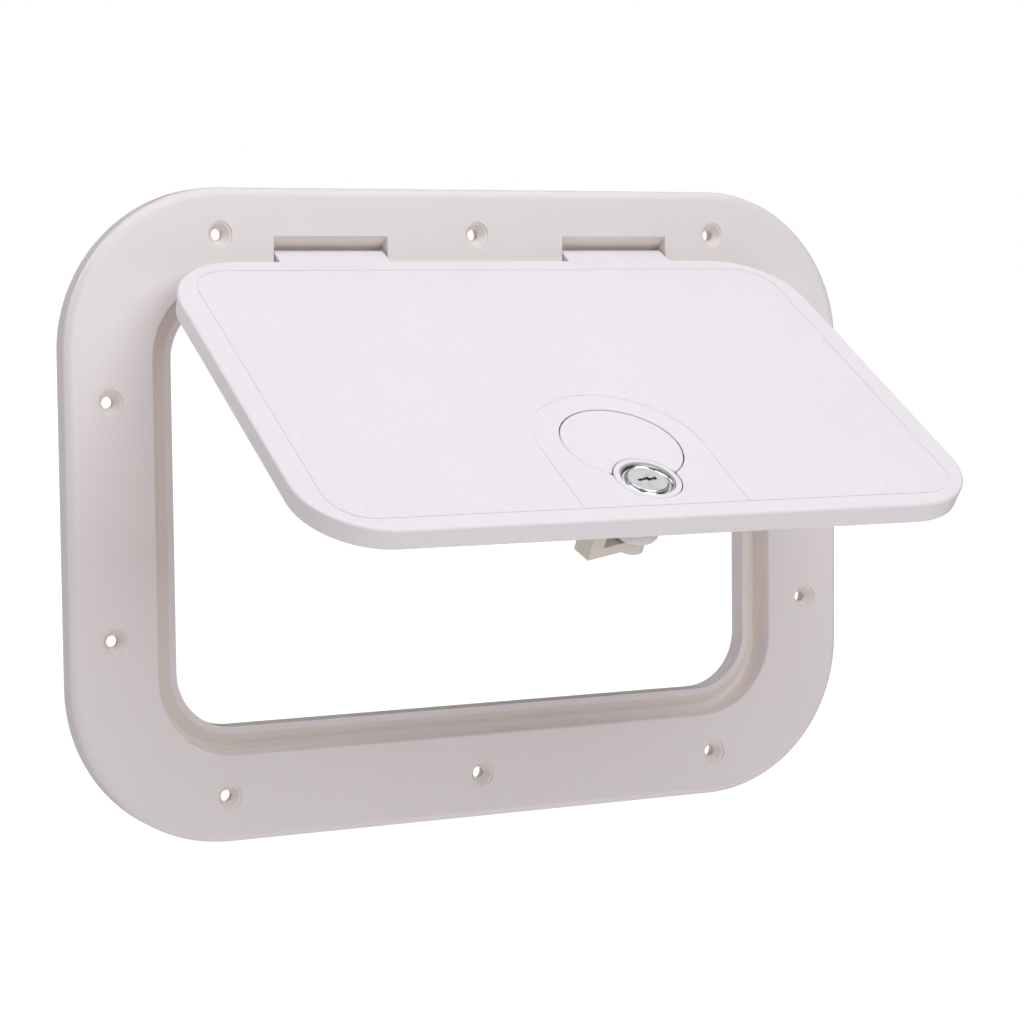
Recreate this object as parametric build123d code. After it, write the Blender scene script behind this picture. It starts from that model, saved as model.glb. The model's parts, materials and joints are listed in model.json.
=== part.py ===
"""Marine access hatch: a moulded flange frame, a hinged lid and a flush lift latch with a cam lock.

The hatch stands upright, as on a cockpit side. X runs to the right, Y into the panel that it is fitted in and
Z up. The origin is the centre of the opening on the panel's outer surface, so the flange's back edge is at
Y = 0 and its face at Y = -FLANGE_T. The lid and all that it carries are modelled closed and then swung open
about the hinge pins by REST_OPEN.

Places on the lid are given as (x, d, q): x to the right, d from the lid's hinge edge towards its free edge,
q below the lid's top surface.
"""

import os
from math import cos, radians, sin

from build123d import *

# ---- driving dimensions, mm ----

# flange and the stepped opening in it
OUTER_W, OUTER_H, OUTER_R = 380.0, 282.0, 70.0
FLANGE_T = 12.0
SKIN = 3.0
RIM_WALL = 3.5
FACE_EDGE_R = 3.8
RABBET_W, RABBET_H, RABBET_R = 303.2, 206.4, 35.3
RABBET_DRAFT = 1.0
RABBET_EDGE_R = 1.0
GUTTER_DEPTH = 11.5
GUTTER_FLOOR = 2.3
LIP_DEPTH = 7.2
LIP_OUTER, LIP_INNER = 7.2, 10.2
LIP_RISE = 1.4
NECK_WALL = 3.0
NECK_DEPTH = 17.0
TRAY_WALL = 2.5
TRAY_DEPTH = 14.0
FRAME_RIB_XS = (-85, -60, -30, 30, 60, 85)
FRAME_TOP_RIB_XS = (-22, 22)
FRAME_RIB_ZS = (-76, -24, 0, 24, 76)

# fixing screws: ten countersunk holes
SCREW_X, SCREW_Z = 121.0, 121.0
SIDE_SCREW_X, SIDE_SCREW_Z = 171.0, 50.5
SCREW_HOLE_R = 2.5
SINK_R, SINK_DEPTH = 5.2, 4.0
SINK_RIM_R, SINK_RIM_DEPTH = 5.8, 0.7
BOSS_R, BOSS_CORE_R, BOSS_WEB = 7.2, 4.5, 6.0

# hinges: one pocket, tab and pin on each side
POCKET_IN, POCKET_OUT = 43.0, 96.4
POCKET_TOP_Z = 120.4
POCKET_RAMP_DROP = 6.7
POCKET_DEPTH = 10.7
POCKET_WALL = 8.0
HINGE_DEPTH, HINGE_Z = 5.2, 109.2
KNUCKLE_R = 5.0
TAB_GAP = 1.0
PIN_R, PIN_FIT, PIN_RUN = 2.0, 0.02, 0.05
PIN_END = 5.0
REST_OPEN = 59.6

# lid
LID_W, LID_R, LID_T = 301.4, 34.4, 9.3
LID_BACK_Z, LID_FRONT_Z = 101.3, -101.3
LID_DRAFT = 0.8
LID_SKIN, LID_SKIRT = 3.0, 1.7
LID_EDGE_R = 1.3
SEAL_OUTER, SEAL_INNER, SEAL_GAP = 5.7, 9.5, 0.3
CHANNEL_RIB, CHANNEL_DEPTH = 2.0, 6.2
RIB_T, RIB_DEPTH = 2.0, 7.5
LID_RIB_XS, LID_SHORT_RIB_XS = (-105, -60, 60, 105), (-20, 20)
LID_RIB_DS, LID_SIDE_RIB_D = (38, 75, 112), 150
GROOVE_SIDE, GROOVE_BACK, GROOVE_FRONT, GROOVE_R = 10.0, 8.2, 8.1, 18.0
GROOVE_W, GROOVE_DEPTH = 0.6, 0.3
ARCH_R, ARCH_W, ARCH_DEPTH = 37.4, 0.5, 0.25

# latch: lift flap beside the lock, in a keyhole-shaped opening in the lid
FLAP_D, FLAP_R, FLAP_T = 150.4, 25.7, 2.4
LOCK_D, SEAT_R = 175.3, 14.1
LATCH_GAP = 0.45
SEAT_GAP, SEAT_EDGE_R = 0.35, 0.5
CUSP_R = 2.0
HORN_R = 2.0
FLAP_EDGE_R = 0.7
FLAP_PIN_D, FLAP_PIN_Q, FLAP_PIN_R, FLAP_PIN_HALF = 144.9, 5.4, 1.25, 27.6
FLAP_BARREL_R, FLAP_BARREL_IN, FLAP_BARREL_OUT, FLAP_WEB = 2.6, 7.0, 22.5, 1.8
FLAP_RIB_X, FLAP_RIB_HALF, FLAP_RIB_DEPTH, FLAP_RIB_END = 12.0, 0.8, 2.0, 163.0
SPRING_WIRE, SPRING_TURNS, SPRING_PITCH, SPRING_LEG = 0.8, 5.5, 1.6, 6.0
SPRING_GAP = 0.35
RELIEF_Q, RELIEF = 0.7, 1.25
CUP_R, CUP_WALL, CUP_DEPTH, CUP_FLOOR = 27.0, 2.0, 15.0, 2.0
LOCK_WALL = 3.9
LATCH_GASKET_T = 0.6
LATCH_FLANGE_Q, LATCH_FLANGE_T, LATCH_FLANGE_HALF_W = 5.5, 2.5, 37.0
LATCH_FLANGE_D0, LATCH_FLANGE_D1, LATCH_FLANGE_R, LATCH_CLEAR = 117.0, 190.5, 8.0, 4.0
LATCH_SCREW_X, LATCH_SCREW_D = 31.5, (123.0, 184.5)
LATCH_SCREW_R, LATCH_SCREW_HEAD_R, LATCH_SCREW_HEAD_T = 1.25, 3.0, 1.8
LATCH_SCREW_SLOT, LATCH_SCREW_IN, LATCH_SCREW_GAP = 1.9, 1.0, 0.3
LATCH_BOSS_R = 3.8

# cam lock
LOCK_HEAD_R, LOCK_HEAD_Q, LOCK_HEAD_T = 11.45, 0.7, 2.7
LOCK_RECESS_R = 11.7
LOCK_BODY_R, LOCK_BODY_END = 9.6, 26.0
LOCK_BODY_FLAT = 8.9
LOCK_FIT, LOCK_GAP, LOCK_RIM, LOCK_EDGE_R = 0.1, 0.3, 0.5, 0.25
PLUG_R, PLUG_FIT, PLUG_Q, PLUG_END, PLUG_EDGE_R = 8.35, 0.06, 0.5, 24.0, 0.3
TAIL_R, TAIL_SQUARE, TAIL_END = 4.2, 5.6, 30.7
KEYWAY_HALF, KEYWAY_BAR, KEYWAY_LAP, KEYWAY_STEP, KEYWAY_END = 4.4, 2.0, 1.2, 0.5, 17.5
SHUTTER_Q, SHUTTER_T, SHUTTER_FIT, SHUTTER_EDGE = 1.1, 1.6, 0.05, 0.8
WAFER_COUNT, WAFER_T, WAFER_Q, WAFER_PITCH = 5, 0.9, 6.0, 2.3
WAFER_W, WAFER_L, WAFER_FIT = 6.0, 14.4, 0.05
LOCK_GASKET_T = 0.6
NUT_R, NUT_T, NUT_EDGE = 13.0, 3.6, 0.5
TOOTH_WASHER_R, TOOTH_WASHER_T, TOOTH_COUNT, TOOTH_GAP_R = 12.0, 0.8, 16, 0.8
CAM_SCREW_R, CAM_SCREW_HEAD_R, CAM_SCREW_HEAD_T, CAM_SCREW_DEPTH = 1.7, 3.3, 1.7, 6.5
CAM_WASHER_R, CAM_WASHER_T = 4.2, 0.8
CAM_SCREW_SLOT = 2.0
SLOT_HALF, SLOT_DEPTH = 0.35, 0.9
CAM_REACH, CAM_W, CAM_Q, CAM_T = 26.0, 9.0, 26.6, 4.4
CAM_HUB_R, CAM_HUB_END = 6.2, 33.0
CAM_CATCH_Q, CAM_CATCH_L, CAM_CATCH_EDGE = 17.4, 7.0, 2.5
CAM_TURN = 15.0

# how far a rib or boss reaches into what it grows from, and a cutter past what it opens
JOIN, PAST = 0.5, 1.0

# ---- derived places ----

FACE_Y = -FLANGE_T
HINGE_Y = FACE_Y + HINGE_DEPTH
HINGE_AXIS = Axis((0, HINGE_Y, HINGE_Z), (1, 0, 0))
LID_H = LID_BACK_Z - LID_FRONT_Z
LID_MID_Z = (LID_BACK_Z + LID_FRONT_Z) / 2
FLAP_OPENING_R = FLAP_R + LATCH_GAP
SEAT_OPENING_R = SEAT_R + LATCH_GAP


# ---- shapes in the plane of the opening ----

def outline(half_w, half_h, radius, y, mid_z=0.0):
    """A rounded rectangle facing the front, at depth y."""
    shape = Pos(0, mid_z) * RectangleRounded(2 * half_w, 2 * half_h, radius)
    return Plane.XZ.offset(-y) * shape


def block(half_w, half_h, radius, y0, y1, mid_z=0.0):
    """A rounded rectangular block from y0 back to y1."""
    return extrude(outline(half_w, half_h, radius, y0, mid_z), amount=y1 - y0, dir=(0, 1, 0))


def rabbet(offset, y, rise=0.0):
    """The opening's outline moved inwards from the rabbet's edge by offset, and more by rise at the bottom."""
    return outline(RABBET_W / 2 - offset, (RABBET_H - rise) / 2 - offset, RABBET_R - offset, y, rise / 2)


def tapered(front, back):
    """A solid between two outlines at different depths."""
    return loft([front, back], ruled=True)


def bar(x0, x1, y0, y1, z0, z1):
    """A plain bar between two corners."""
    size = (x1 - x0, y1 - y0, z1 - z0)
    return Pos((x0 + x1) / 2, (y0 + y1) / 2, (z0 + z1) / 2) * Box(*size)


def disc(x, z, radius, y0, y1):
    """A round solid along Y, from y0 back to y1."""
    face = Plane.XZ.offset(-y0) * (Pos(x, z) * Circle(radius))
    return extrude(face, amount=y1 - y0, dir=(0, 1, 0))


def cross_rod(radius, x0, x1, y, z):
    """A round solid along X, from x0 to x1."""
    face = Plane.YZ.offset(x0) * (Pos(y, z) * Circle(radius))
    return extrude(face, amount=x1 - x0, dir=(1, 0, 0))


def section(points, x0, x1):
    """A solid along X whose section is given by (y, z) points."""
    face = Plane.YZ.offset(x0) * make_face(Polyline(*points, close=True))
    return extrude(face, amount=x1 - x0, dir=(1, 0, 0))


def sides(shape):
    """A solid and its mirror image on the other side of the centre line."""
    return [shape, mirror(shape, Plane.YZ)]


# ---- flange frame ----

def screw_places():
    """The (x, z) place of each fixing screw."""
    rows = [(x, z) for x in (-SCREW_X, 0, SCREW_X) for z in (-SCREW_Z, SCREW_Z)]
    ends = [(x, z) for x in (-SIDE_SCREW_X, SIDE_SCREW_X) for z in (-SIDE_SCREW_Z, SIDE_SCREW_Z)]
    return rows + ends


def frame_ribs():
    """Stiffening ribs under the flange, between its rim and the tray."""
    y0 = FACE_Y + SKIN - JOIN
    rim_x, rim_z = OUTER_W / 2 - RIM_WALL + JOIN, OUTER_H / 2 - RIM_WALL + JOIN
    tray_x, tray_z = RABBET_W / 2 + PAST, RABBET_H / 2 + PAST
    ribs = []
    for x in FRAME_RIB_XS:
        ribs.append(bar(x - RIB_T / 2, x + RIB_T / 2, y0, 0, -rim_z, -tray_z))
    for x in FRAME_TOP_RIB_XS:
        ribs.append(bar(x - RIB_T / 2, x + RIB_T / 2, y0, 0, tray_z, rim_z))
    for z in FRAME_RIB_ZS:
        ribs.append(bar(-rim_x, -tray_x, y0, 0, z - RIB_T / 2, z + RIB_T / 2))
        ribs.append(bar(tray_x, rim_x, y0, 0, z - RIB_T / 2, z + RIB_T / 2))
    return ribs


def pocket_cut():
    """The hinge pocket's space: a ramped ceiling over a flat floor, open to the rabbet."""
    drop = POCKET_RAMP_DROP / POCKET_DEPTH
    floor_y = FACE_Y + POCKET_DEPTH
    points = [
        (FACE_Y - PAST, POCKET_TOP_Z + drop),
        (floor_y, POCKET_TOP_Z - POCKET_RAMP_DROP),
        (floor_y, RABBET_H / 2 - 2 * RABBET_DRAFT),
        (FACE_Y - PAST, RABBET_H / 2 - 2 * RABBET_DRAFT),
    ]
    return section(points, POCKET_IN, POCKET_OUT)


def build_frame():
    """The moulded frame: hollow-backed flange, gutter wider along the bottom, lip, neck and hinge pockets."""
    frame = block(OUTER_W / 2, OUTER_H / 2, OUTER_R, FACE_Y, 0)
    frame = fillet(frame.faces().sort_by(Axis.Y)[0].edges(), FACE_EDGE_R)
    hollow = block(OUTER_W / 2 - RIM_WALL, OUTER_H / 2 - RIM_WALL, OUTER_R - RIM_WALL, FACE_Y + SKIN, PAST)
    tray = tapered(rabbet(-TRAY_WALL, FACE_Y + PAST), rabbet(-TRAY_WALL, FACE_Y + TRAY_DEPTH))
    frame = frame - hollow + tray
    neck = LIP_INNER - NECK_WALL
    frame += tapered(rabbet(neck, FACE_Y + LIP_DEPTH, LIP_RISE), rabbet(neck, FACE_Y + NECK_DEPTH, LIP_RISE))
    frame += frame_ribs()
    for x, z in screw_places():
        frame += disc(x, z, BOSS_R, FACE_Y + SKIN - JOIN, 0)
    pocket_block = bar(POCKET_IN - POCKET_WALL, POCKET_OUT + POCKET_WALL, FACE_Y + SKIN - JOIN, 0,
                       RABBET_H / 2, POCKET_TOP_Z + TRAY_WALL)
    frame += sides(pocket_block)

    # the rabbet down to the lip, with a rounded edge at the flange's face
    draft_at_lip = RABBET_DRAFT * LIP_DEPTH / GUTTER_DEPTH
    frame -= tapered(rabbet(0, FACE_Y), rabbet(draft_at_lip, FACE_Y + LIP_DEPTH))
    frame = fillet(frame.faces().sort_by(Axis.Y)[0].inner_wires()[0].edges(), RABBET_EDGE_R)
    # the gutter round the lip, and the way through the neck
    gutter = tapered(rabbet(draft_at_lip, FACE_Y + LIP_DEPTH), rabbet(RABBET_DRAFT, FACE_Y + GUTTER_DEPTH))
    lip_top = rabbet(LIP_OUTER, FACE_Y + LIP_DEPTH, LIP_RISE)
    lip = tapered(lip_top, rabbet(GUTTER_FLOOR, FACE_Y + GUTTER_DEPTH, LIP_RISE))
    frame -= gutter - lip
    way_y0, way_y1 = FACE_Y + LIP_DEPTH - PAST, FACE_Y + NECK_DEPTH + PAST
    frame -= tapered(rabbet(LIP_INNER, way_y0, LIP_RISE), rabbet(LIP_INNER, way_y1, LIP_RISE))

    frame -= sides(pocket_cut())
    bore_x0, bore_x1 = POCKET_IN - POCKET_WALL - PAST, POCKET_OUT + PIN_END + JOIN
    pin_bore = cross_rod(PIN_R + PIN_FIT, bore_x0, bore_x1, HINGE_Y, HINGE_Z)
    frame -= sides(pin_bore)
    for x, z in screw_places():
        frame -= disc(x, z, BOSS_CORE_R, FACE_Y + BOSS_WEB, PAST)
        frame -= disc(x, z, SCREW_HOLE_R, FACE_Y - PAST, 0)
        sink = Cone(SCREW_HOLE_R, SINK_R, SINK_DEPTH)
        frame -= Pos(x, FACE_Y + SINK_DEPTH / 2, z) * (Rot(90, 0, 0) * sink)
        frame -= disc(x, z, SINK_RIM_R, FACE_Y - PAST, FACE_Y + SINK_RIM_DEPTH)
    return frame


def build_hinge_pin():
    """The right hinge pin, from the pocket's inner wall into a blind hole in its outer wall."""
    pin = cross_rod(PIN_R, POCKET_IN - POCKET_WALL, POCKET_OUT + PIN_END, HINGE_Y, HINGE_Z)
    return chamfer(pin.edges().filter_by(GeomType.CIRCLE), 0.4)


# ---- lid, modelled closed ----

def on_lid(d):
    """The height of a place at distance d from the lid's hinge edge."""
    return LID_BACK_Z - d


def lid_outline(inset, y):
    """The lid's outline moved inwards by inset, at depth y."""
    return outline(LID_W / 2 - inset, LID_H / 2 - inset, LID_R - inset, y, LID_MID_Z)


def lid_ring(outer, inner, q0, q1):
    """A ring that follows the lid's edge, from inset outer to inset inner."""
    solid = tapered(lid_outline(outer, FACE_Y + q0), lid_outline(outer, FACE_Y + q1))
    return solid - tapered(lid_outline(inner, FACE_Y + q0 - PAST), lid_outline(inner, FACE_Y + q1 + PAST))


def groove_block(inset, q0, q1):
    """The field inside the lid's border groove as a solid, made smaller all round by inset."""
    half_w = LID_W / 2 - GROOVE_SIDE - inset
    half_d = (LID_H - GROOVE_BACK - GROOVE_FRONT) / 2 - inset
    mid_z = LID_MID_Z + (GROOVE_FRONT - GROOVE_BACK) / 2
    return block(half_w, half_d, GROOVE_R - inset, FACE_Y + q0, FACE_Y + q1, mid_z)


def arch_block(radius, q0, q1):
    """The plain field round the latch as a solid: a round top, and straight sides down to the lid's front."""
    y0, y1, z = FACE_Y + q0, FACE_Y + q1, on_lid(FLAP_D)
    return disc(0, z, radius, y0, y1) + bar(-radius, radius, y0, y1, LID_FRONT_Z - PAST, z)


def lid_grooves():
    """The fine grooves in the lid's top: one inside its border, and one round the latch's plain field."""
    border = groove_block(0, -PAST, GROOVE_DEPTH) - groove_block(GROOVE_W, -2 * PAST, GROOVE_DEPTH + PAST)
    arch = arch_block(ARCH_R, -PAST, ARCH_DEPTH) - arch_block(ARCH_R - ARCH_W, -2 * PAST, ARCH_DEPTH + PAST)
    return border + (arch & groove_block(GROOVE_W / 2, -2 * PAST, GROOVE_DEPTH + PAST))


def keyhole(flap_radius, seat_radius, q0, q1):
    """The latch's keyhole shape as a solid: a large round end for the flap and a small one for the lock."""
    solid = disc(0, on_lid(FLAP_D), flap_radius, FACE_Y + q0, FACE_Y + q1)
    return solid + disc(0, on_lid(LOCK_D), seat_radius, FACE_Y + q0, FACE_Y + q1)


def hinge_tab():
    """One hinge tab: a block as thick as the lid that ends in a round knuckle."""
    x0, x1 = POCKET_IN + TAB_GAP, POCKET_OUT - TAB_GAP
    top = HINGE_Y - KNUCKLE_R
    points = [
        (top, on_lid(4)),
        (top, HINGE_Z),
        (HINGE_Y + KNUCKLE_R, HINGE_Z),
        (FACE_Y + LID_T, on_lid(0)),
        (FACE_Y + LID_T, on_lid(2)),
    ]
    return section(points, x0, x1) + cross_rod(KNUCKLE_R, x0, x1, HINGE_Y, HINGE_Z)


def lid_ribs():
    """Stiffening ribs on the lid's underside, clear of the latch."""
    y0, y1, half = FACE_Y + LID_SKIN - JOIN, FACE_Y + RIB_DEPTH, RIB_T / 2
    edge = SEAL_INNER + CHANNEL_RIB
    end_x, end_z = LID_W / 2 - edge, LID_BACK_Z - edge
    ribs = []
    for x in LID_RIB_XS:
        ribs.append(bar(x - half, x + half, y0, y1, LID_FRONT_Z + edge, end_z))
    for x in LID_SHORT_RIB_XS:
        ribs.append(bar(x - half, x + half, y0, y1, on_lid(LATCH_FLANGE_D0 - LATCH_CLEAR), end_z))
    for d in LID_RIB_DS:
        ribs.append(bar(-end_x, end_x, y0, y1, on_lid(d) - half, on_lid(d) + half))
    z = on_lid(LID_SIDE_RIB_D)
    return ribs + sides(bar(LATCH_FLANGE_HALF_W + LATCH_CLEAR, end_x, y0, y1, z - half, z + half))


def latch_screw_places():
    """The (x, z) place of each screw that holds the latch housing."""
    return [(x, on_lid(d)) for x in (-LATCH_SCREW_X, LATCH_SCREW_X) for d in LATCH_SCREW_D]


def build_lid():
    """The moulded lid: skin, skirt, seal channel, ribs, latch opening and hinge tabs."""
    lid = tapered(lid_outline(0, FACE_Y), lid_outline(LID_DRAFT, FACE_Y + LID_T))
    lid = fillet(lid.faces().sort_by(Axis.Y)[0].edges(), LID_EDGE_R)
    skirt_in, channel_y = LID_DRAFT + LID_SKIRT, FACE_Y + CHANNEL_DEPTH
    lid -= tapered(lid_outline(SEAL_OUTER, FACE_Y + LID_SKIN), lid_outline(SEAL_OUTER, channel_y + JOIN))
    lid -= tapered(lid_outline(skirt_in, channel_y), lid_outline(skirt_in, FACE_Y + LID_T + PAST))
    lid -= lid_grooves()
    lid += lid_ring(SEAL_INNER, SEAL_INNER + CHANNEL_RIB, LID_SKIN - JOIN, CHANNEL_DEPTH)
    lid += lid_ribs()
    for x, z in latch_screw_places():
        lid += disc(x, z, LATCH_BOSS_R, FACE_Y + LID_SKIN - JOIN, FACE_Y + LATCH_FLANGE_Q)
    opening = keyhole(FLAP_OPENING_R, SEAT_OPENING_R, -PAST, LID_SKIN + PAST)
    low_z, high_z = on_lid(LOCK_D - PAST), on_lid(FLAP_D + PAST)
    cusps = opening.edges().filter_by(Axis.Y).filter_by(lambda edge: low_z < edge.center().Z < high_z)
    lid -= fillet(cusps, CUSP_R)
    lid -= disc(0, on_lid(FLAP_D), FLAP_OPENING_R + RELIEF, FACE_Y + RELIEF_Q, FACE_Y + LID_SKIN + PAST)
    for x, z in latch_screw_places():
        lid -= disc(x, z, LATCH_SCREW_R, FACE_Y + LID_SKIN - LATCH_SCREW_IN, FACE_Y + LATCH_FLANGE_Q + PAST)
    tabs = sides(hinge_tab())
    lid += tabs
    lid -= sides(cross_rod(PIN_R + PIN_RUN, POCKET_IN, POCKET_OUT, HINGE_Y, HINGE_Z))
    return lid


def build_lid_seal():
    """The soft seal in the lid's channel, with a rounded face that meets the frame's lip."""
    seal = lid_ring(SEAL_OUTER, SEAL_INNER, LID_SKIN, LIP_DEPTH - SEAL_GAP)
    return fillet(seal.faces().sort_by(Axis.Y)[-1].edges(), 1.4)


# ---- latch ----

def latch_floor():
    """The latch housing's outer body, before it is hollowed."""
    q0 = LID_SKIN + LATCH_GASKET_T
    body = keyhole(CUP_R + CUP_WALL, LOCK_RECESS_R + LOCK_WALL, q0, CUP_DEPTH)
    half, middle = LATCH_FLANGE_HALF_W, (LATCH_FLANGE_D0 + LATCH_FLANGE_D1) / 2
    length = LATCH_FLANGE_D1 - LATCH_FLANGE_D0
    y0 = FACE_Y + LATCH_FLANGE_Q
    return body + block(half, length / 2, LATCH_FLANGE_R, y0, y0 + LATCH_FLANGE_T, on_lid(middle))


def build_latch_housing():
    """The cup behind the flap, with the lock's seat rising into the lid's opening."""
    z = on_lid(LOCK_D)
    housing = latch_floor()
    housing -= disc(0, on_lid(FLAP_D), CUP_R, FACE_Y, FACE_Y + CUP_DEPTH - CUP_FLOOR)
    housing += disc(0, z, SEAT_R, FACE_Y + LID_SKIN, FACE_Y + CUP_DEPTH)
    seat = disc(0, z, SEAT_R, FACE_Y, FACE_Y + LID_SKIN + PAST)
    housing += fillet(seat.faces().sort_by(Axis.Y)[0].edges(), SEAT_EDGE_R)
    recess_q = LOCK_HEAD_Q + LOCK_HEAD_T + LOCK_GASKET_T
    housing -= disc(0, z, LOCK_RECESS_R, FACE_Y - PAST, FACE_Y + recess_q)
    housing -= lock_body(LOCK_FIT, 0, CUP_DEPTH + PAST)
    housing -= cross_rod(FLAP_PIN_R, -FLAP_PIN_HALF, FLAP_PIN_HALF, FACE_Y + FLAP_PIN_Q, on_lid(FLAP_PIN_D))
    for x, screw_z in latch_screw_places():
        housing -= disc(x, screw_z, LATCH_SCREW_R + LATCH_SCREW_GAP, FACE_Y, FACE_Y + CUP_DEPTH)
    return housing


def build_latch_gasket():
    """The soft gasket between the lid's underside and the latch housing."""
    q1 = LID_SKIN + LATCH_GASKET_T
    outer = keyhole(CUP_R + CUP_WALL, LOCK_RECESS_R + LOCK_WALL, LID_SKIN, q1)
    inner = keyhole(FLAP_OPENING_R + RELIEF, SEAT_OPENING_R, LID_SKIN - PAST, q1 + PAST)
    return outer - inner


def cross_slot(x, z, half, y0):
    """The cutter for a screw's cross recess, from depth y0 out through the head."""
    y1 = y0 + 3 * PAST
    return [bar(x - half, x + half, y0, y1, z - SLOT_HALF, z + SLOT_HALF),
            bar(x - SLOT_HALF, x + SLOT_HALF, y0, y1, z - half, z + half)]


def build_latch_screws():
    """Four pan-head screws that hold the latch housing to the lid."""
    top = FACE_Y + LATCH_FLANGE_Q + LATCH_FLANGE_T
    screws = []
    for x, z in latch_screw_places():
        shank = disc(x, z, LATCH_SCREW_R, FACE_Y + LID_SKIN - LATCH_SCREW_IN + LATCH_SCREW_GAP, top)
        head = disc(x, z, LATCH_SCREW_HEAD_R, top, top + LATCH_SCREW_HEAD_T)
        head = fillet(head.faces().sort_by(Axis.Y)[-1].edges(), LATCH_SCREW_HEAD_T / 2)
        screws.append(shank + head - cross_slot(x, z, LATCH_SCREW_SLOT, top + SLOT_DEPTH))
    return Compound(screws)


# ---- flap ----

def build_pull_flap():
    """The lift flap: a round plate cut away round the lock, on a split hinge barrel."""
    z, pin_z, pin_y = on_lid(FLAP_D), on_lid(FLAP_PIN_D), FACE_Y + FLAP_PIN_Q
    plate = disc(0, z, FLAP_R, FACE_Y, FACE_Y + FLAP_T)
    plate -= disc(0, on_lid(LOCK_D), SEAT_R + SEAT_GAP, FACE_Y - PAST, FACE_Y + FLAP_T + PAST)
    horns = plate.edges().filter_by(Axis.Y).filter_by(lambda edge: abs(edge.center().X) > SEAT_R / 2)
    plate = fillet(horns, HORN_R)
    plate = fillet(plate.faces().sort_by(Axis.Y)[0].edges(), FLAP_EDGE_R)
    under = FACE_Y + FLAP_T - JOIN
    for rod in sides(cross_rod(FLAP_BARREL_R, FLAP_BARREL_IN, FLAP_BARREL_OUT, pin_y, pin_z)):
        plate += rod
    plate += sides(bar(FLAP_BARREL_IN, FLAP_BARREL_OUT, under, pin_y, pin_z - FLAP_WEB, pin_z + FLAP_WEB))
    rib_x0, rib_x1 = FLAP_RIB_X - FLAP_RIB_HALF, FLAP_RIB_X + FLAP_RIB_HALF
    plate += sides(bar(rib_x0, rib_x1, under, under + FLAP_RIB_DEPTH, on_lid(FLAP_RIB_END), pin_z))
    return plate - cross_rod(FLAP_PIN_R + PIN_RUN, -FLAP_PIN_HALF, FLAP_PIN_HALF, pin_y, pin_z)


def build_flap_pin():
    """The flap's pivot pin, held in the cup's wall."""
    half = FLAP_PIN_HALF - LOCK_FIT
    return cross_rod(FLAP_PIN_R - PIN_FIT, -half, half, FACE_Y + FLAP_PIN_Q, on_lid(FLAP_PIN_D))


def build_flap_spring():
    """The flap's return spring: a torsion coil round the pin, with both legs towards the hinge edge."""
    radius = FLAP_PIN_R + SPRING_GAP + SPRING_WIRE / 2
    height = SPRING_PITCH * SPRING_TURNS
    path = Helix(SPRING_PITCH, height, radius)
    wire = sweep(Plane(path @ 0, z_dir=path % 0) * Circle(SPRING_WIRE / 2), path=path)
    for end, way in ((0, -1), (1, 1)):
        start, along = path @ end, (path % end) * way
        wire += extrude(Plane(start - along * 0.2, z_dir=along) * Circle(SPRING_WIRE / 2), amount=SPRING_LEG)
    wire = Pos(-height / 2, 0, 0) * (Rot(0, 90, 0) * wire)
    return Pos(0, FACE_Y + FLAP_PIN_Q, on_lid(FLAP_PIN_D)) * (Rot(-90, 0, 0) * wire)


# ---- cam lock ----

def lock_body(gap, q0, q1):
    """The lock's threaded body with its two flats, grown by gap."""
    z, half = on_lid(LOCK_D), LOCK_BODY_FLAT + gap
    body = disc(0, z, LOCK_BODY_R + gap, FACE_Y + q0, FACE_Y + q1)
    return body & bar(-half, half, FACE_Y + q0 - PAST, FACE_Y + q1 + PAST, z - 2 * half, z + 2 * half)


def lock_ring(outer, inner, q0, q1):
    """A flat ring round the lock's axis."""
    z, y0, y1 = on_lid(LOCK_D), FACE_Y + q0, FACE_Y + q1
    return disc(0, z, outer, y0, y1) - disc(0, z, inner, y0 - PAST, y1 + PAST)


def build_lock_barrel():
    """The plated lock barrel: a head with a round channel, a body with flats and an end wall for the tail."""
    z = on_lid(LOCK_D)
    head = disc(0, z, LOCK_HEAD_R, FACE_Y + LOCK_HEAD_Q, FACE_Y + LOCK_HEAD_Q + LOCK_HEAD_T)
    head = fillet(head.faces().sort_by(Axis.Y)[0].edges(), LOCK_EDGE_R)
    dish_r = (LOCK_HEAD_R - LOCK_RIM - PLUG_R) / 2
    dish = Torus(PLUG_R + dish_r, dish_r)
    head -= Pos(0, FACE_Y + LOCK_HEAD_Q, z) * (Rot(90, 0, 0) * dish)
    barrel = head + lock_body(0, LOCK_HEAD_Q + LOCK_HEAD_T - JOIN, LOCK_BODY_END)
    barrel -= disc(0, z, PLUG_R + PLUG_FIT, FACE_Y, FACE_Y + PLUG_END + LOCK_GAP)
    return barrel - disc(0, z, TAIL_R + PLUG_FIT, FACE_Y, FACE_Y + LOCK_BODY_END + PAST)


def build_lock_washer():
    """The toothed washer under the lock's nut."""
    q1 = CUP_DEPTH + TOOTH_WASHER_T
    washer = lock_ring(TOOTH_WASHER_R, LOCK_BODY_R + LOCK_GAP, CUP_DEPTH, q1)
    z = on_lid(LOCK_D)
    for k in range(TOOTH_COUNT):
        turn = radians(360 * k / TOOTH_COUNT)
        x, tooth_z = TOOTH_WASHER_R * cos(turn), z + TOOTH_WASHER_R * sin(turn)
        washer -= disc(x, tooth_z, TOOTH_GAP_R, FACE_Y + CUP_DEPTH - PAST, FACE_Y + q1 + PAST)
    return washer


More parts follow.
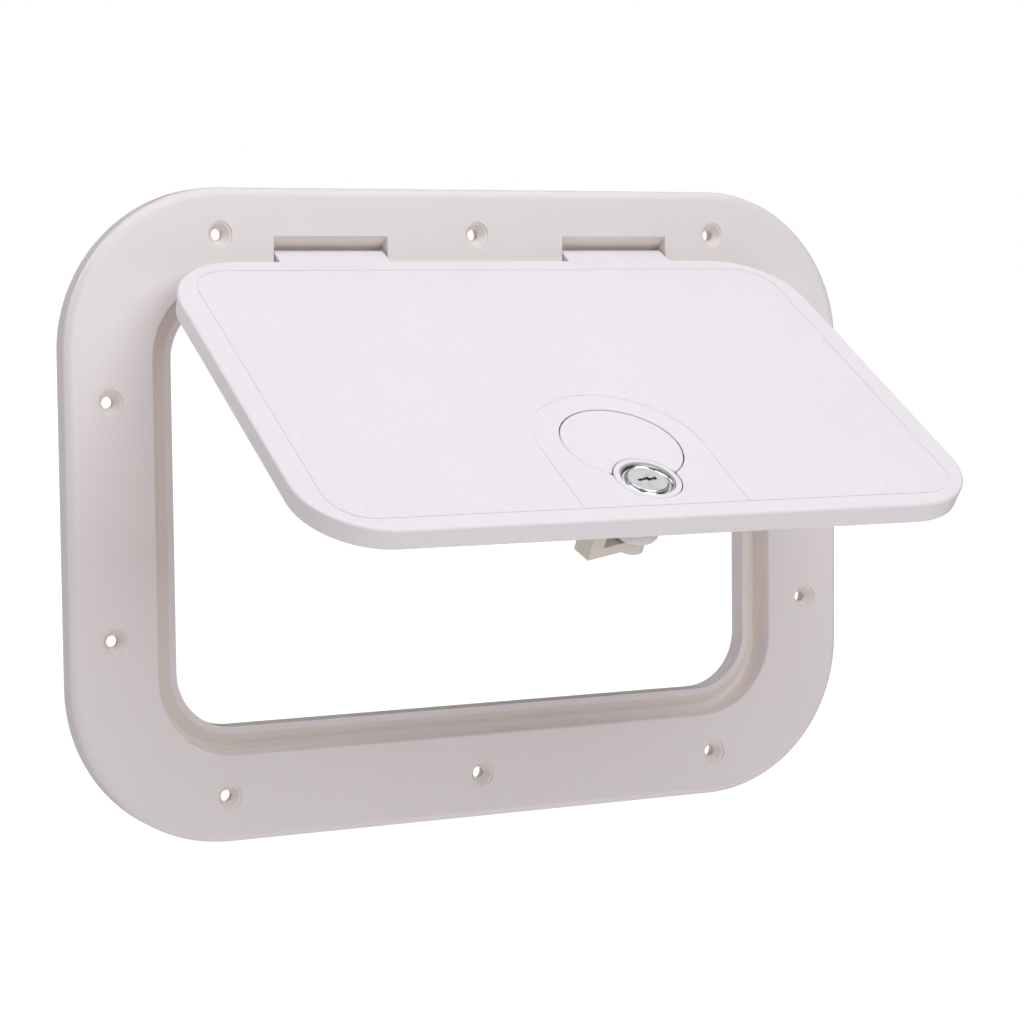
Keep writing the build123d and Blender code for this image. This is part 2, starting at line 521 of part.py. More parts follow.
def build_lock_nut():
    """The hexagon nut that clamps the lock into the latch housing."""
    z = on_lid(LOCK_D)
    y0 = FACE_Y + CUP_DEPTH + TOOTH_WASHER_T
    face = Plane.XZ.offset(-y0) * (Pos(0, z) * RegularPolygon(NUT_R, 6))
    nut = extrude(face, amount=NUT_T, dir=(0, 1, 0))
    nut = chamfer(nut.faces().sort_by(Axis.Y)[-1].edges(), NUT_EDGE)
    return nut - disc(0, z, LOCK_BODY_R + LOCK_FIT, y0 - PAST, y0 + NUT_T + PAST)


def keyway(q0, q1, grow):
    """The lock's stepped key slot: two bars side by side that share a middle piece."""
    z, lap = on_lid(LOCK_D), KEYWAY_LAP + grow
    half, width = KEYWAY_HALF + grow, KEYWAY_BAR + grow
    y0, y1 = FACE_Y + q0, FACE_Y + q1
    upper = bar(-half, lap, y0, y1, z - KEYWAY_STEP, z + width - KEYWAY_STEP)
    lower = bar(-lap, half, y0, y1, z - width + KEYWAY_STEP, z + KEYWAY_STEP)
    return upper + lower


def wafer_qs():
    """How deep each wafer lies."""
    return [WAFER_Q + k * WAFER_PITCH for k in range(WAFER_COUNT)]


def build_key_plug():
    """The plug that the key turns, with its wafer slots, tail and square for the cam."""
    z, square = on_lid(LOCK_D), TAIL_SQUARE / 2
    plug = disc(0, z, PLUG_R, FACE_Y + PLUG_Q, FACE_Y + PLUG_END)
    plug = fillet(plug.faces().sort_by(Axis.Y)[0].edges(), PLUG_EDGE_R)
    plug += disc(0, z, TAIL_R, FACE_Y + PLUG_END - JOIN, FACE_Y + CAM_Q)
    plug += bar(-square, square, FACE_Y + CAM_Q - JOIN, FACE_Y + TAIL_END, z - square, z + square)
    plug -= keyway(PLUG_Q - PAST, KEYWAY_END, 0)
    for q in wafer_qs():
        half, end = WAFER_W / 2 + WAFER_FIT, WAFER_L / 2 + WAFER_FIT
        y0, y1 = FACE_Y + q - WAFER_FIT, FACE_Y + q + WAFER_T + WAFER_FIT
        plug -= bar(-end, PLUG_R + PAST, y0, y1, z - half, z + half)
    thread_y = FACE_Y + TAIL_END - CAM_SCREW_DEPTH
    return plug - disc(0, z, CAM_SCREW_R + PIN_FIT, thread_y, FACE_Y + TAIL_END + PAST)


def build_keyway_shutter():
    """The small bevelled shutter that closes the key slot below the plug's face."""
    shutter = keyway(SHUTTER_Q, SHUTTER_Q + SHUTTER_T, -SHUTTER_FIT)
    return chamfer(shutter.faces().sort_by(Axis.Y)[0].edges(), SHUTTER_EDGE)


def build_lock_wafers():
    """The lock's wafers: thin plates, each with a window for the key."""
    z = on_lid(LOCK_D)
    wafers = []
    for q in wafer_qs():
        y0, y1 = FACE_Y + q, FACE_Y + q + WAFER_T
        plate = bar(-WAFER_L / 2, WAFER_L / 2, y0, y1, z - WAFER_W / 2, z + WAFER_W / 2)
        window = bar(-KEYWAY_HALF, KEYWAY_HALF, y0 - PAST, y1 + PAST, z - KEYWAY_BAR, z + KEYWAY_BAR)
        wafers.append(plate - window)
    return Compound(wafers)


def build_cam():
    """The moulded cam: a hub on the tail's square, an arm, and a tall end that catches behind the neck."""
    z = on_lid(LOCK_D)
    y0, y1 = FACE_Y + CAM_Q, FACE_Y + CAM_Q + CAM_T
    cam = disc(0, z, CAM_HUB_R, y0, FACE_Y + CAM_HUB_END)
    cam += bar(-CAM_REACH, 0, y0, y1, z - CAM_W / 2, z + CAM_W / 2)
    catch = bar(-CAM_REACH, CAM_CATCH_L - CAM_REACH, FACE_Y + CAM_CATCH_Q, y1, z - CAM_W / 2, z + CAM_W / 2)
    outer_edge = catch.edges().filter_by(Axis.Z).sort_by(lambda edge: edge.center().X + edge.center().Y)[0]
    cam += chamfer(outer_edge, CAM_CATCH_EDGE)
    square = TAIL_SQUARE / 2 + SHUTTER_FIT
    cam -= bar(-square, square, y0 - PAST, y1 + PAST, z - square, z + square)
    cam -= disc(0, z, CAM_WASHER_R + LOCK_FIT, y1, FACE_Y + CAM_HUB_END + PAST)
    return turned_cam(cam)


def turned_cam(shape):
    """Turns a piece with the plug, from pointing left to where it stands at rest."""
    return shape.rotate(Axis((0, 0, on_lid(LOCK_D)), (0, -1, 0)), CAM_TURN)


def build_cam_washer():
    """The washer under the cam's screw."""
    q0 = CAM_Q + CAM_T
    return lock_ring(CAM_WASHER_R, CAM_SCREW_R + LOCK_FIT, q0, q0 + CAM_WASHER_T)


def build_cam_screw():
    """The screw that holds the cam on the plug's tail."""
    z, head_y = on_lid(LOCK_D), FACE_Y + CAM_Q + CAM_T + CAM_WASHER_T
    head = disc(0, z, CAM_SCREW_HEAD_R, head_y, head_y + CAM_SCREW_HEAD_T)
    head = fillet(head.faces().sort_by(Axis.Y)[-1].edges(), CAM_SCREW_HEAD_T / 2)
    shank = disc(0, z, CAM_SCREW_R, FACE_Y + TAIL_END - CAM_SCREW_DEPTH + LOCK_GAP, head_y + LOCK_GAP)
    return head + shank - cross_slot(0, z, CAM_SCREW_SLOT, head_y + SLOT_DEPTH)


# ---- the assembly ----

def swung_open(shape):
    """A closed lid's piece, swung open about the hinge pins to where the lid stands at rest."""
    return shape.rotate(HINGE_AXIS, -REST_OPEN)


def main():
    hinge_pin = build_hinge_pin()
    still = {
        "hatch_frame": build_frame(),
        "hinge_pin_right": hinge_pin,
        "hinge_pin_left": mirror(hinge_pin, Plane.YZ),
    }
    carried = {
        "lid_panel": build_lid(),
        "lid_seal": build_lid_seal(),
        "latch_housing": build_latch_housing(),
        "latch_gasket": build_latch_gasket(),
        "latch_screws": build_latch_screws(),
        "pull_flap": build_pull_flap(),
        "flap_pin": build_flap_pin(),
        "flap_spring": build_flap_spring(),
        "lock_barrel": build_lock_barrel(),
        "lock_gasket": lock_ring(LOCK_HEAD_R - LOCK_FIT, LOCK_BODY_R + LOCK_GAP,
                                 LOCK_HEAD_Q + LOCK_HEAD_T, LOCK_HEAD_Q + LOCK_HEAD_T + LOCK_GASKET_T),
        "lock_washer": build_lock_washer(),
        "lock_nut": build_lock_nut(),
        "key_plug": turned_cam(build_key_plug()),
        "keyway_shutter": turned_cam(build_keyway_shutter()),
        "lock_wafers": turned_cam(build_lock_wafers()),
        "cam": build_cam(),
        "cam_washer": build_cam_washer(),
        "cam_screw": turned_cam(build_cam_screw()),
    }
    os.makedirs("parts", exist_ok=True)
    for name, shape in still.items():
        export_step(shape, f"parts/{name}.step")
    for name, shape in carried.items():
        export_step(swung_open(shape), f"parts/{name}.step")


main()
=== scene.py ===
"""Looks for the deck hatch: its finishes, the fine moulded detail, the light and the camera.

Everything is in metres in the part's own frame. The lid stands open at rest, so what lies on it is worked
out on the shut lid, as (x, d, q): x to the right, d from the lid's hinge edge and q below its top surface.
"""

import json
from math import cos, hypot, pi, radians, sin, tau

import bpy
import numpy as np
from mathutils import Matrix, Vector


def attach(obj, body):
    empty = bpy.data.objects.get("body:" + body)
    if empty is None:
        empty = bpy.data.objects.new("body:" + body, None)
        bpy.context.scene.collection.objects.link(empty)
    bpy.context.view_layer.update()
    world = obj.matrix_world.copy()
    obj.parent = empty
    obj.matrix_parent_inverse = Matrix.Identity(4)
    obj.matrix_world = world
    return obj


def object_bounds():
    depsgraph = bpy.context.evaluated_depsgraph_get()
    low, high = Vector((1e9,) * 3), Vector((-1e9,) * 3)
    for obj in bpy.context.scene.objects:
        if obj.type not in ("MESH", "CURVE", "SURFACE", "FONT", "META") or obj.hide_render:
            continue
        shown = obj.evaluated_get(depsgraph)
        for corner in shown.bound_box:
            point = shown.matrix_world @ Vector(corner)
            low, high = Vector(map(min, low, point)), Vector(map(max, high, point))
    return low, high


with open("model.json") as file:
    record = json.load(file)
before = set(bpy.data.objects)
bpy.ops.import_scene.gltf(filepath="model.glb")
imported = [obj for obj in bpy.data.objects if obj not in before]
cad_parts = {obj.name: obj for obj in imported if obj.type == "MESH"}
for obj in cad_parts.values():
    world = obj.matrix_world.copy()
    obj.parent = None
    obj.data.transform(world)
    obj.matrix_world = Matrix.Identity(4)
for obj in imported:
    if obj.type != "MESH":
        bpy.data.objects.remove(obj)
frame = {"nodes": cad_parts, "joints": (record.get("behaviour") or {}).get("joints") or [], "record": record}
CAD_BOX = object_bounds()
NODES = frame["nodes"]
JOINTS = {joint["name"]: joint for joint in frame["joints"]}
MM = 0.001

# ---- places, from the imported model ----

HINGE = Vector(JOINTS["lid_hinge"]["pos_m"])
REST_OPEN = radians(-JOINTS["lid_hinge"]["range_deg"][0])
SWING = Matrix.Translation(HINGE) @ Matrix.Rotation(-REST_OPEN, 4, "X") @ Matrix.Translation(-HINGE)
SHUT = SWING.inverted()


def shut_box(node):
    """The lowest and highest corner of a node that rides on the lid, with the lid shut."""
    points = np.array([SHUT @ vertex.co for vertex in NODES[node].data.vertices])
    return Vector(points.min(0)), Vector(points.max(0))


LID_LOW, LID_HIGH = shut_box("lid_panel")
SEAL_LOW, SEAL_HIGH = shut_box("lid_seal")
FLAP_LOW, FLAP_HIGH = shut_box("pull_flap")
FACE_Y = LID_LOW.y
LID_BACK = SEAL_HIGH.z + SEAL_LOW.z - LID_LOW.z
LID_LENGTH = LID_BACK - LID_LOW.z
LID_HALF = LID_HIGH.x
FLAP_RADIUS = (FLAP_HIGH.x - FLAP_LOW.x) / 2
FLAP_D = LID_BACK - FLAP_HIGH.z + FLAP_RADIUS
LOCK_POINT = SHUT @ Vector(JOINTS["plug_turn"]["pos_m"])
LOCK_D = LID_BACK - LOCK_POINT.z
LOCK_AXIS = (SWING.to_3x3() @ Vector((0, 1, 0))).normalized()
LOCK_CENTRE = Vector(JOINTS["plug_turn"]["pos_m"])


def on_lid(x, d, q):
    """Where a place on the lid is with the lid at rest."""
    return SWING @ Vector((x, FACE_Y + q, LID_BACK - d))


# ---- node trees ----

class Finish:
    """A material with one Principled shader, and short ways to add and link its nodes."""

    def __init__(self, name, **uniform):
        self.material = bpy.data.materials.new(name)
        self.material.use_nodes = True
        self.tree = self.material.node_tree
        self.shader = self.tree.nodes["Principled BSDF"]
        for socket, value in uniform.items():
            self.shader.inputs[socket.replace("_", " ")].default_value = value
        self.place = self.add("ShaderNodeTexCoord").outputs["Object"]

    def add(self, kind, inputs=None, **settings):
        node = self.tree.nodes.new(kind)
        for key, value in settings.items():
            setattr(node, key, value)
        for key, value in (inputs or {}).items():
            if isinstance(value, bpy.types.NodeSocket):
                self.tree.links.new(value, node.inputs[key])
            else:
                node.inputs[key].default_value = value
        return node

    def noise(self, scale, detail=3.0, roughness=0.5, stretch=None):
        """Fractal noise; scale is in waves per metre."""
        place = self.place
        if stretch:
            place = self.add("ShaderNodeMapping", {"Vector": place, "Scale": stretch}).outputs["Vector"]
        node = self.add("ShaderNodeTexNoise",
                        {"Vector": place, "Scale": scale, "Detail": detail, "Roughness": roughness})
        return node.outputs["Fac"]

    def ramp(self, value, low, high, to_low, to_high):
        """A value mapped from one range to another, and kept inside it."""
        node = self.add("ShaderNodeMapRange", {"Value": value, "From Min": low, "From Max": high,
                                               "To Min": to_low, "To Max": to_high})
        return node.outputs["Result"]

    def math(self, operation, first, second):
        return self.add("ShaderNodeMath", {0: first, 1: second}, operation=operation).outputs[0]

    def blend(self, amount, first, second):
        """A colour between two colours."""
        node = self.add("ShaderNodeMix", data_type="RGBA")
        for key, value in ((0, amount), (6, first), (7, second)):
            if isinstance(value, bpy.types.NodeSocket):
                self.tree.links.new(value, node.inputs[key])
            else:
                node.inputs[key].default_value = value
        return node.outputs[2]

    def edges(self, radius, low=0.02, high=0.3):
        """How near a point is to a sharp or tight edge, from 0 to 1."""
        bevel = self.add("ShaderNodeBevel", {"Radius": radius}, samples=4)
        true = self.add("ShaderNodeNewGeometry").outputs["Normal"]
        alike = self.add("ShaderNodeVectorMath", {0: bevel.outputs["Normal"], 1: true},
                         operation="DOT_PRODUCT")
        away = self.math("SUBTRACT", 1.0, alike.outputs["Value"])
        return self.ramp(away, low, high, 0.0, 1.0)

    def hollows(self, reach):
        """How deep in a corner or recess a point lies, from 0 to 1."""
        open_sky = self.add("ShaderNodeAmbientOcclusion", {"Distance": reach}, samples=8).outputs["AO"]
        return self.ramp(open_sky, 0.2, 0.8, 1.0, 0.0)

    def bump(self, layers):
        """Adds bumps, each a (height, distance in metres, strength), one on another."""
        normal = None
        for height, distance, strength in layers:
            inputs = {"Height": height, "Distance": distance, "Strength": strength}
            if normal is not None:
                inputs["Normal"] = normal
            normal = self.add("ShaderNodeBump", inputs).outputs["Normal"]
        self.tree.links.new(normal, self.shader.inputs["Normal"])

    def drive(self, socket, value):
        self.tree.links.new(value, self.shader.inputs[socket])


def tone(colour, factor):
    """A colour made lighter or darker."""
    return tuple(min(1.0, channel * factor) for channel in colour[:3]) + (1.0,)


# painted light: the paler, warmer tone painted into the frame's hollows in place of light that passes
# through and bounces in the plastic, and how near the facing walls of a hollow are
PAINTED_GLOW_TONE = (0.95, 0.86, 0.795, 1.0)
PAINTED_GLOW_REACH = 11 * MM


def moulded(name, colour, dull, edge_radius=0.9 * MM, grain=0.012 * MM, painted_glow=0.0):
    """Moulded ASA: faint flow and speckle in the colour, orange peel, and edges polished by handling.
    Its painted glow is how much of a paler, warmer painted light tone is blended into the hollows, in place
    of light that passes through it."""
    finish = Finish(name, IOR=1.49)
    flow = finish.ramp(finish.noise(14, 4, 0.6, (1, 1, 0.45)), 0.3, 0.7, 0.0, 1.0)
    speck = finish.ramp(finish.noise(1400, 2, 0.6), 0.35, 0.7, 0.0, 1.0)
    base = finish.blend(flow, tone(colour, 0.985), tone(colour, 1.012))
    base = finish.blend(finish.math("MULTIPLY", speck, 0.35), base, tone(colour, 0.955))
    edge = finish.edges(edge_radius)
    base = finish.blend(finish.math("MULTIPLY", edge, 0.4), base, tone(colour, 1.05))
    # painted light: the hollows are painted paler and warmer, in place of light that passes through the
    # plastic and bounces in them
    if painted_glow:
        base = finish.blend(finish.math("MULTIPLY", finish.hollows(PAINTED_GLOW_REACH), painted_glow), base, PAINTED_GLOW_TONE)
    finish.drive("Base Color", base)
    cloudy = finish.ramp(finish.noise(55, 5, 0.6), 0.3, 0.7, dull - 0.02, dull + 0.03)
    rubbed = finish.ramp(edge, 0.0, 1.0, 0.0, 0.07)
    finish.drive("Roughness", finish.math("SUBTRACT", cloudy, rubbed))
    finish.bump([(finish.noise(30, 2, 0.4), 0.06 * MM, 0.3),
                 (finish.noise(420, 3, 0.5), grain * 2, 0.3),
                 (finish.noise(2600, 2, 0.6), grain * 0.6, 0.4)])
    return finish.material


def rubber(name, colour):
    """Soft sealing rubber: a fine pored skin with a chalky bloom."""
    finish = Finish(name, IOR=1.45)
    bloom = finish.ramp(finish.noise(60, 5, 0.65), 0.35, 0.75, 0.0, 1.0)
    finish.drive("Base Color", finish.blend(bloom, tone(colour, 0.8), tone(colour, 1.7)))
    finish.drive("Roughness", finish.ramp(bloom, 0.0, 1.0, 0.62, 0.82))
    pores = finish.add("ShaderNodeTexVoronoi", {"Vector": finish.place, "Scale": 1500.0}).outputs["Distance"]
    finish.bump([(pores, 0.06 * MM, 0.5), (finish.noise(300, 3, 0.6), 0.05 * MM, 0.4)])
    return finish.material


def metal(name, colour, dull, grain_scale, grain_depth, stretch=None, edge_tone=1.1):
    """Bare or plated metal: a directional or cast grain, faint smudges and rubbed edges."""
    finish = Finish(name, Metallic=1.0)
    smudge = finish.ramp(finish.noise(130, 4, 0.6), 0.35, 0.7, 0.0, 1.0)
    base = finish.blend(smudge, tone(colour, 0.93), tone(colour, 1.04))
    edge = finish.edges(0.35 * MM)
    worn = finish.math("MULTIPLY", edge, 0.6)
    finish.drive("Base Color", finish.blend(worn, base, tone(colour, edge_tone)))
    streak = finish.noise(grain_scale, 3, 0.6, stretch)
    smeared = finish.math("ADD", finish.ramp(streak, 0.3, 0.7, -0.03, 0.05), dull)
    finish.drive("Roughness", finish.math("ADD", smeared, finish.math("MULTIPLY", smudge, 0.05)))
    finish.bump([(streak, grain_depth, 0.5)])
    return finish.material


# how fast the chrome's rings follow one another, in radians per metre
RING_RATE = 16000.0


def turned_chrome():
    """Bright chrome over a turned face: faint rings round the lock's axis, and light handling marks."""
    finish = Finish("lock_chrome_finish", Metallic=1.0)
    colour = (0.80, 0.80, 0.81)
    offset = finish.add("ShaderNodeVectorMath", {0: finish.place, 1: tuple(LOCK_CENTRE)},
                        operation="SUBTRACT")
    across = finish.add("ShaderNodeVectorMath", {0: offset.outputs["Vector"], 1: tuple(LOCK_AXIS)},
                        operation="CROSS_PRODUCT")
    distance = finish.add("ShaderNodeVectorMath", {0: across.outputs["Vector"]}, operation="LENGTH")
    radius = distance.outputs["Value"]
    wobble = finish.math("ADD", finish.math("MULTIPLY", radius, RING_RATE), finish.noise(900, 2, 0.6))
    rings = finish.math("SINE", wobble, 0.0)
    smudge = finish.ramp(finish.noise(260, 4, 0.6), 0.35, 0.7, 0.0, 1.0)
    base = finish.blend(smudge, tone(colour, 0.9), tone(colour, 1.05))
    edge = finish.edges(0.3 * MM)
    finish.drive("Base Color", finish.blend(finish.math("MULTIPLY", edge, 0.5), base, tone(colour, 1.15)))
    finish.drive("Roughness", finish.ramp(smudge, 0.0, 1.0, 0.08, 0.17))
    finish.bump([(rings, 0.0012 * MM, 0.5), (finish.noise(1800, 3, 0.6), 0.004 * MM, 0.6)])
    return finish.material


FINISHES = {
    "frame_plastic": moulded("frame_plastic_finish", (0.770, 0.714, 0.716), 0.30, painted_glow=0.95),
    "lid_plastic": moulded("lid_plastic_finish", (0.806, 0.764, 0.800), 0.36),
    "latch_plastic": moulded("latch_plastic_finish", (0.806, 0.764, 0.800), 0.33, 0.5 * MM),
    "cam_nylon": moulded("cam_nylon_finish", (0.765, 0.715, 0.655), 0.42, 0.5 * MM, 0.02 * MM),
    "seal_rubber": rubber("seal_rubber_finish", (0.030, 0.030, 0.032)),
    "stainless": metal("stainless_finish", (0.62, 0.61, 0.60), 0.22, 900, 0.004 * MM, (0.06, 1, 1)),
    "lock_chrome": turned_chrome(),
    "lock_zinc": metal("lock_zinc_finish", (0.56, 0.56, 0.55), 0.34, 1300, 0.012 * MM),
    "wafer_brass": metal("wafer_brass_finish", (0.74, 0.56, 0.27), 0.28, 1000, 0.005 * MM, (1, 1, 0.08)),
}


def finish_nodes():
    """Gives every node the finish of its material slot."""
    for subpart in frame["record"]["subparts"]:
        mesh = NODES[subpart["node"]].data
        mesh.materials.clear()
        mesh.materials.append(FINISHES[subpart["material_slot"]])


# ---- pieces ----

def make_piece(name, points, faces, slot, body, smooth=True):
    """A mesh piece in a slot's finish, riding on a body."""
    mesh = bpy.data.meshes.new(name)
    mesh.from_pydata([tuple(point) for point in points], [], faces)
    mesh.validate()
    mesh.materials.append(FINISHES[slot])
    for polygon in mesh.polygons:
        polygon.use_smooth = smooth
    piece = bpy.data.objects.new(name, mesh)
    bpy.context.scene.collection.objects.link(piece)
    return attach(piece, body)


def add_tube(points, faces, rings):
    """Adds a closed strip of rings of points, each as long as the next, with flat ends."""
    start, count = len(points), len(rings[0])
    for ring in rings:
        points.extend(ring)
    for i in range(len(rings) - 1):
        for j in range(count):
            a, b = start + i * count + j, start + i * count + (j + 1) % count
            faces.append((a, b, b + count, a + count))
    faces.append(tuple(range(start, start + count))[::-1])
    last = start + (len(rings) - 1) * count
    faces.append(tuple(range(last, last + count)))


# the non-skid field, inside the lid's border groove and clear of the latch's plain field
FIELD_SIDE, FIELD_BACK, FIELD_FRONT, FIELD_R = 11.6 * MM, 9.9 * MM, 9.8 * MM, 16.5 * MM
ARCH_R = 38.4 * MM
STROKE_PITCH, STROKE_PERIOD, STROKE_GAP = 4.8 * MM, 9.6 * MM, 2.2 * MM
STROKE_HALF_W, STROKE_H, STROKE_SINK = 0.95 * MM, 0.21 * MM, 0.12 * MM
SWAY, SWAY_LENGTH = 0.55 * MM, 19.2 * MM
STROKE_FOOT = 0.03 * MM
STROKE_STEPS, SHORTEST_STROKE, STROKE_TRIM = 7, 2.5 * MM, 0.4 * MM


def in_field(x, d):
    """Whether a place lies in the lid's non-skid field."""
    half_w = LID_HALF - FIELD_SIDE
    half_d = (LID_LENGTH - FIELD_BACK - FIELD_FRONT) / 2
    from_middle = d - FIELD_BACK - half_d
    over_x = max(abs(x) - half_w + FIELD_R, 0.0)
    over_d = max(abs(from_middle) - half_d + FIELD_R, 0.0)
    if hypot(over_x, over_d) > FIELD_R:
        return False
    beside_latch = abs(x) < ARCH_R and d > FLAP_D
    return not beside_latch and hypot(x, d - FLAP_D) > ARCH_R


def stroke_spans():
    """The column, start and end of every raised stroke, cut where it would leave the field."""
    columns = int((LID_HALF - FIELD_SIDE) / STROKE_PITCH)
    reach = STROKE_HALF_W + SWAY
    for column in range(-columns, columns + 1):
        x = column * STROKE_PITCH
        start = FIELD_BACK - STROKE_PERIOD * (0.5 if column % 2 else 1.0)
        while start < LID_LENGTH:
            end = start + STROKE_PERIOD - STROKE_GAP
            inside = [d for d in np.arange(start, end, STROKE_TRIM)
                      if in_field(abs(x) + reach, d) and in_field(abs(x) - reach, d)]
            if inside and inside[-1] - inside[0] > SHORTEST_STROKE:
                yield x, inside[0], inside[-1]
            start += STROKE_PERIOD


def build_nonskid():
    """The lid's raised non-skid strokes: short swaying ridges in staggered columns."""
    points, faces = [], []
    profile = [(-1.0, -1.0), (-0.72, 0.0), (-0.36, 0.78), (0.0, 1.0), (0.36, 0.78), (0.72, 0.0), (1.0, -1.0)]
    for x, d0, d1 in stroke_spans():
        rings = []
        for i in range(STROKE_STEPS):
            t = i / (STROKE_STEPS - 1)
            d = d0 + (d1 - d0) * t
            swell = max(sin(pi * min(max(t, 0.04), 0.96)) ** 0.6, 0.12)
            middle = x + SWAY * sin(tau * d / SWAY_LENGTH)
            ring = []
            for side, rise in profile:
                q = STROKE_SINK if rise < 0 else STROKE_FOOT - (STROKE_H + STROKE_FOOT) * rise * swell
                ring.append(on_lid(middle + side * STROKE_HALF_W * swell, d, q))
            rings.append(ring)
        add_tube(points, faces, rings)
    return make_piece("lid_nonskid_strokes", points, faces, "lid_plastic", "lid")


# the sleeve over the lock's thread: its section as (radius, q) in mm, and how many sides its round has
SLEEVE_SECTION = ((9.65, 19.5), (10.3, 19.5), (10.45, 19.65), (10.45, 24.3),
                  (10.3, 25.0), (9.95, 25.6), (9.65, 25.9))
SLEEVE_SIDES = 96


def build_lock_sleeve():
    """The round sleeve over the lock's thread, between its nut and its cam."""
    points, faces, count = [], [], len(SLEEVE_SECTION)
    for j in range(SLEEVE_SIDES):
        turn = tau * j / SLEEVE_SIDES
        for radius, q in SLEEVE_SECTION:
            points.append(on_lid(radius * MM * cos(turn), LOCK_D + radius * MM * sin(turn), q * MM))
        low, high = j * count, (j + 1) % SLEEVE_SIDES * count
        for i in range(count):
            after = (i + 1) % count
            faces.append((low + i, low + after, high + after, high + i))
    return make_piece("lock_sleeve", points, faces, "latch_plastic", "lid")


# ---- light, floor and camera ----

FLOOR_DROP, FLOOR_HALF = 0.80, 60.0
FLOOR_GLOW, FLOOR_SEEN, FLOOR_MIRRORED = 0.33, 1.0, 0.03
COOL, WARM = (0.955, 0.98, 1.0), (1.0, 0.93, 0.89)
LIGHTS = {
    # name: place, aimed at, size, watts
    "overhead": ((0.20, -0.62, 1.15), (0.0, -0.05, 0.0), (1.1, 0.9), 6.2),
    "overhead_left": ((-0.60, -0.45, 1.05), (0.0, -0.05, 0.0), (0.9, 0.9), 4.6),
    "front": ((0.30, -2.1, 0.75), (0.0, 0.0, 0.0), (1.6, 1.2), 19.2),
    "behind": ((0.72, 0.38, 1.20), (0.0, -0.15, 0.0), (1.0, 1.0), 1.9),
    "left_edge": ((-1.60, 0.25, 0.30), (0.0, 0.0, 0.0), (0.5, 1.0), 2.5),
    "behind_left": ((-1.20, 0.95, 1.05), (0.0, 0.0, -0.05), (0.9, 0.9), 7.0),
}
SKY_UP, SKY_FROM = 0.32, 0.24
CAMERA_PLACE = (-0.5285, -1.1166, 0.0918)
CAMERA_YAW, CAMERA_PITCH, CAMERA_ROLL = radians(26.258), radians(4.416), radians(-0.555)
CAMERA_LENS, CAMERA_SENSOR = 96.35, 36.0


def build_floor():
    """A plain pale floor, far enough below to take no shadow: white to the camera, dim in polished metal."""
    finish = Finish("floor_finish", Roughness=0.9)
    pale = finish.blend(finish.ramp(finish.noise(3, 3, 0.5), 0.3, 0.7, 0.0, 1.0), (0.93, 0.93, 0.93, 1),
                        (0.95, 0.95, 0.95, 1))
    finish.drive("Base Color", pale)
    path = finish.add("ShaderNodeLightPath").outputs
    seen = path["Is Camera Ray"]
    finish.drive("Emission Color", finish.blend(seen, (*WARM, 1), (1, 1, 1, 1)))
    dim = finish.ramp(path["Is Glossy Ray"], 0.0, 1.0, FLOOR_GLOW, FLOOR_MIRRORED)
    finish.drive("Emission Strength", finish.ramp(seen, 0.0, 1.0, dim, FLOOR_SEEN))
    z, half = CAD_BOX[0][2] - FLOOR_DROP, FLOOR_HALF
    mesh = bpy.data.meshes.new("floor")
    corners = [(-half, -half, z), (half, -half, z), (half, half, z), (-half, half, z)]
    mesh.from_pydata(corners, [], [(0, 1, 2, 3)])
    mesh.materials.append(finish.material)
    floor = bpy.data.objects.new("floor", mesh)
    bpy.context.scene.collection.objects.link(floor)


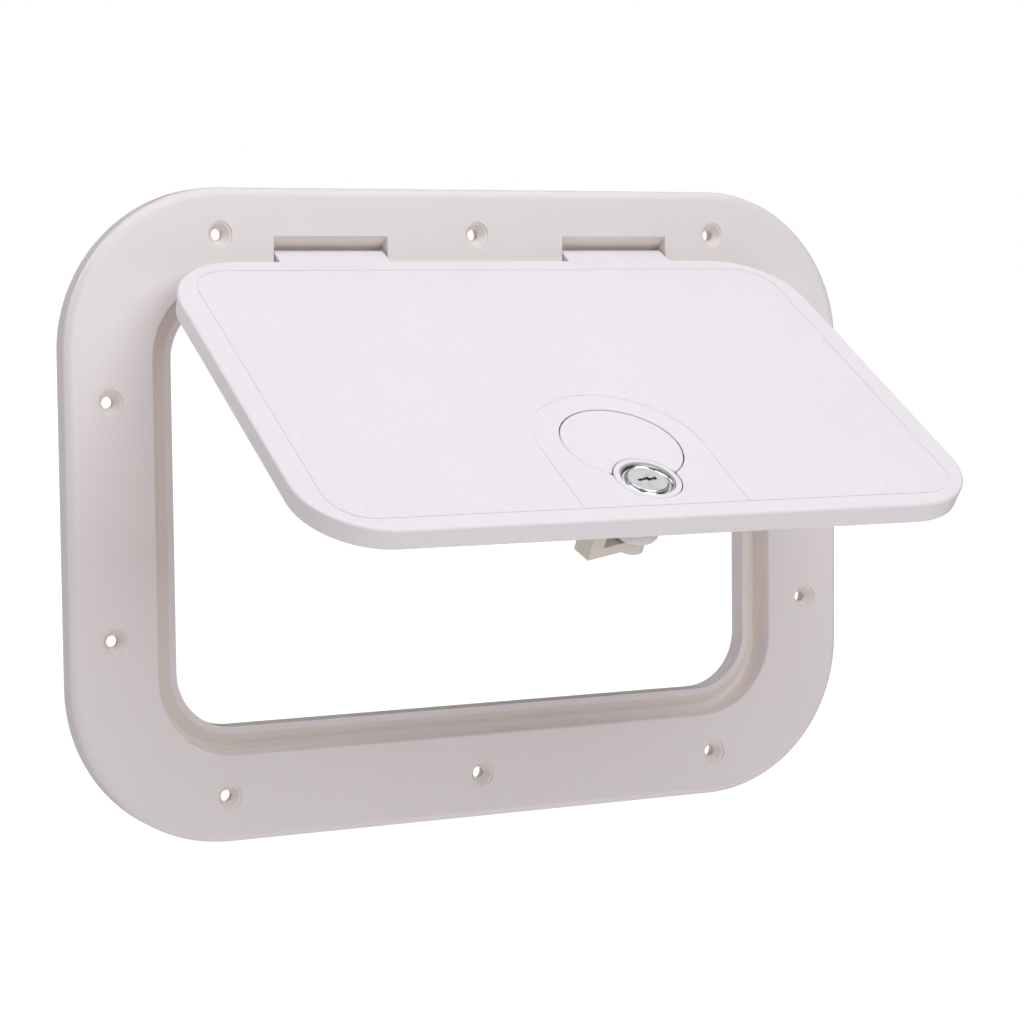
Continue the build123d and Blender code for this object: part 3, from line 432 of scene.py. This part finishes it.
def build_world():
    """A white backdrop for the camera, and round the object a studio that is dark below and soft above."""
    world = bpy.data.worlds.new("studio")
    bpy.context.scene.world = world
    world.use_nodes = True
    tree = world.node_tree
    tree.nodes.clear()
    link = tree.links.new
    direction = tree.nodes.new("ShaderNodeTexCoord").outputs["Generated"]
    split = tree.nodes.new("ShaderNodeSeparateXYZ")
    link(direction, split.inputs[0])
    height = tree.nodes.new("ShaderNodeMapRange")
    height.inputs["From Min"].default_value = SKY_FROM
    height.inputs["To Max"].default_value = SKY_UP
    link(split.outputs["Z"], height.inputs["Value"])
    studio = tree.nodes.new("ShaderNodeBackground")
    studio.inputs["Color"].default_value = (*WARM, 1)
    link(height.outputs["Result"], studio.inputs["Strength"])
    backdrop = tree.nodes.new("ShaderNodeBackground")
    backdrop.inputs["Color"].default_value = (1, 1, 1, 1)
    mix = tree.nodes.new("ShaderNodeMixShader")
    link(tree.nodes.new("ShaderNodeLightPath").outputs["Is Camera Ray"], mix.inputs["Fac"])
    link(studio.outputs[0], mix.inputs[1])
    link(backdrop.outputs[0], mix.inputs[2])
    link(mix.outputs[0], tree.nodes.new("ShaderNodeOutputWorld").inputs["Surface"])


def build_lights():
    """The soft studio lights."""
    for name, (place, target, size, watts) in LIGHTS.items():
        lamp = bpy.data.lights.new(name, "AREA")
        lamp.shape = "RECTANGLE"
        lamp.size, lamp.size_y = size
        lamp.energy = watts
        lamp.color = COOL
        light = bpy.data.objects.new(name, lamp)
        light.location = place
        aim = Vector(target) - Vector(place)
        light.rotation_euler = aim.to_track_quat("-Z", "Y").to_euler()
        bpy.context.scene.collection.objects.link(light)


def build_camera():
    """The camera: a long lens a little above the hatch's middle, to its left."""
    level_run = cos(CAMERA_PITCH)
    forward = Vector((sin(CAMERA_YAW) * level_run, cos(CAMERA_YAW) * level_run, -sin(CAMERA_PITCH)))
    level = Vector((cos(CAMERA_YAW), -sin(CAMERA_YAW), 0.0))
    upright = level.cross(forward)
    right = cos(CAMERA_ROLL) * level + sin(CAMERA_ROLL) * upright
    up = cos(CAMERA_ROLL) * upright - sin(CAMERA_ROLL) * level
    lens = bpy.data.cameras.new("camera")
    lens.lens, lens.sensor_width = CAMERA_LENS, CAMERA_SENSOR
    camera = bpy.data.objects.new("camera", lens)
    turn = Matrix((right, up, -forward)).transposed().to_4x4()
    camera.matrix_world = Matrix.Translation(CAMERA_PLACE) @ turn
    bpy.context.scene.collection.objects.link(camera)
    bpy.context.scene.camera = camera


finish_nodes()
build_nonskid()
build_lock_sleeve()
build_floor()
build_world()
build_lights()
build_camera()
bpy.context.scene.view_settings.view_transform = "Standard"
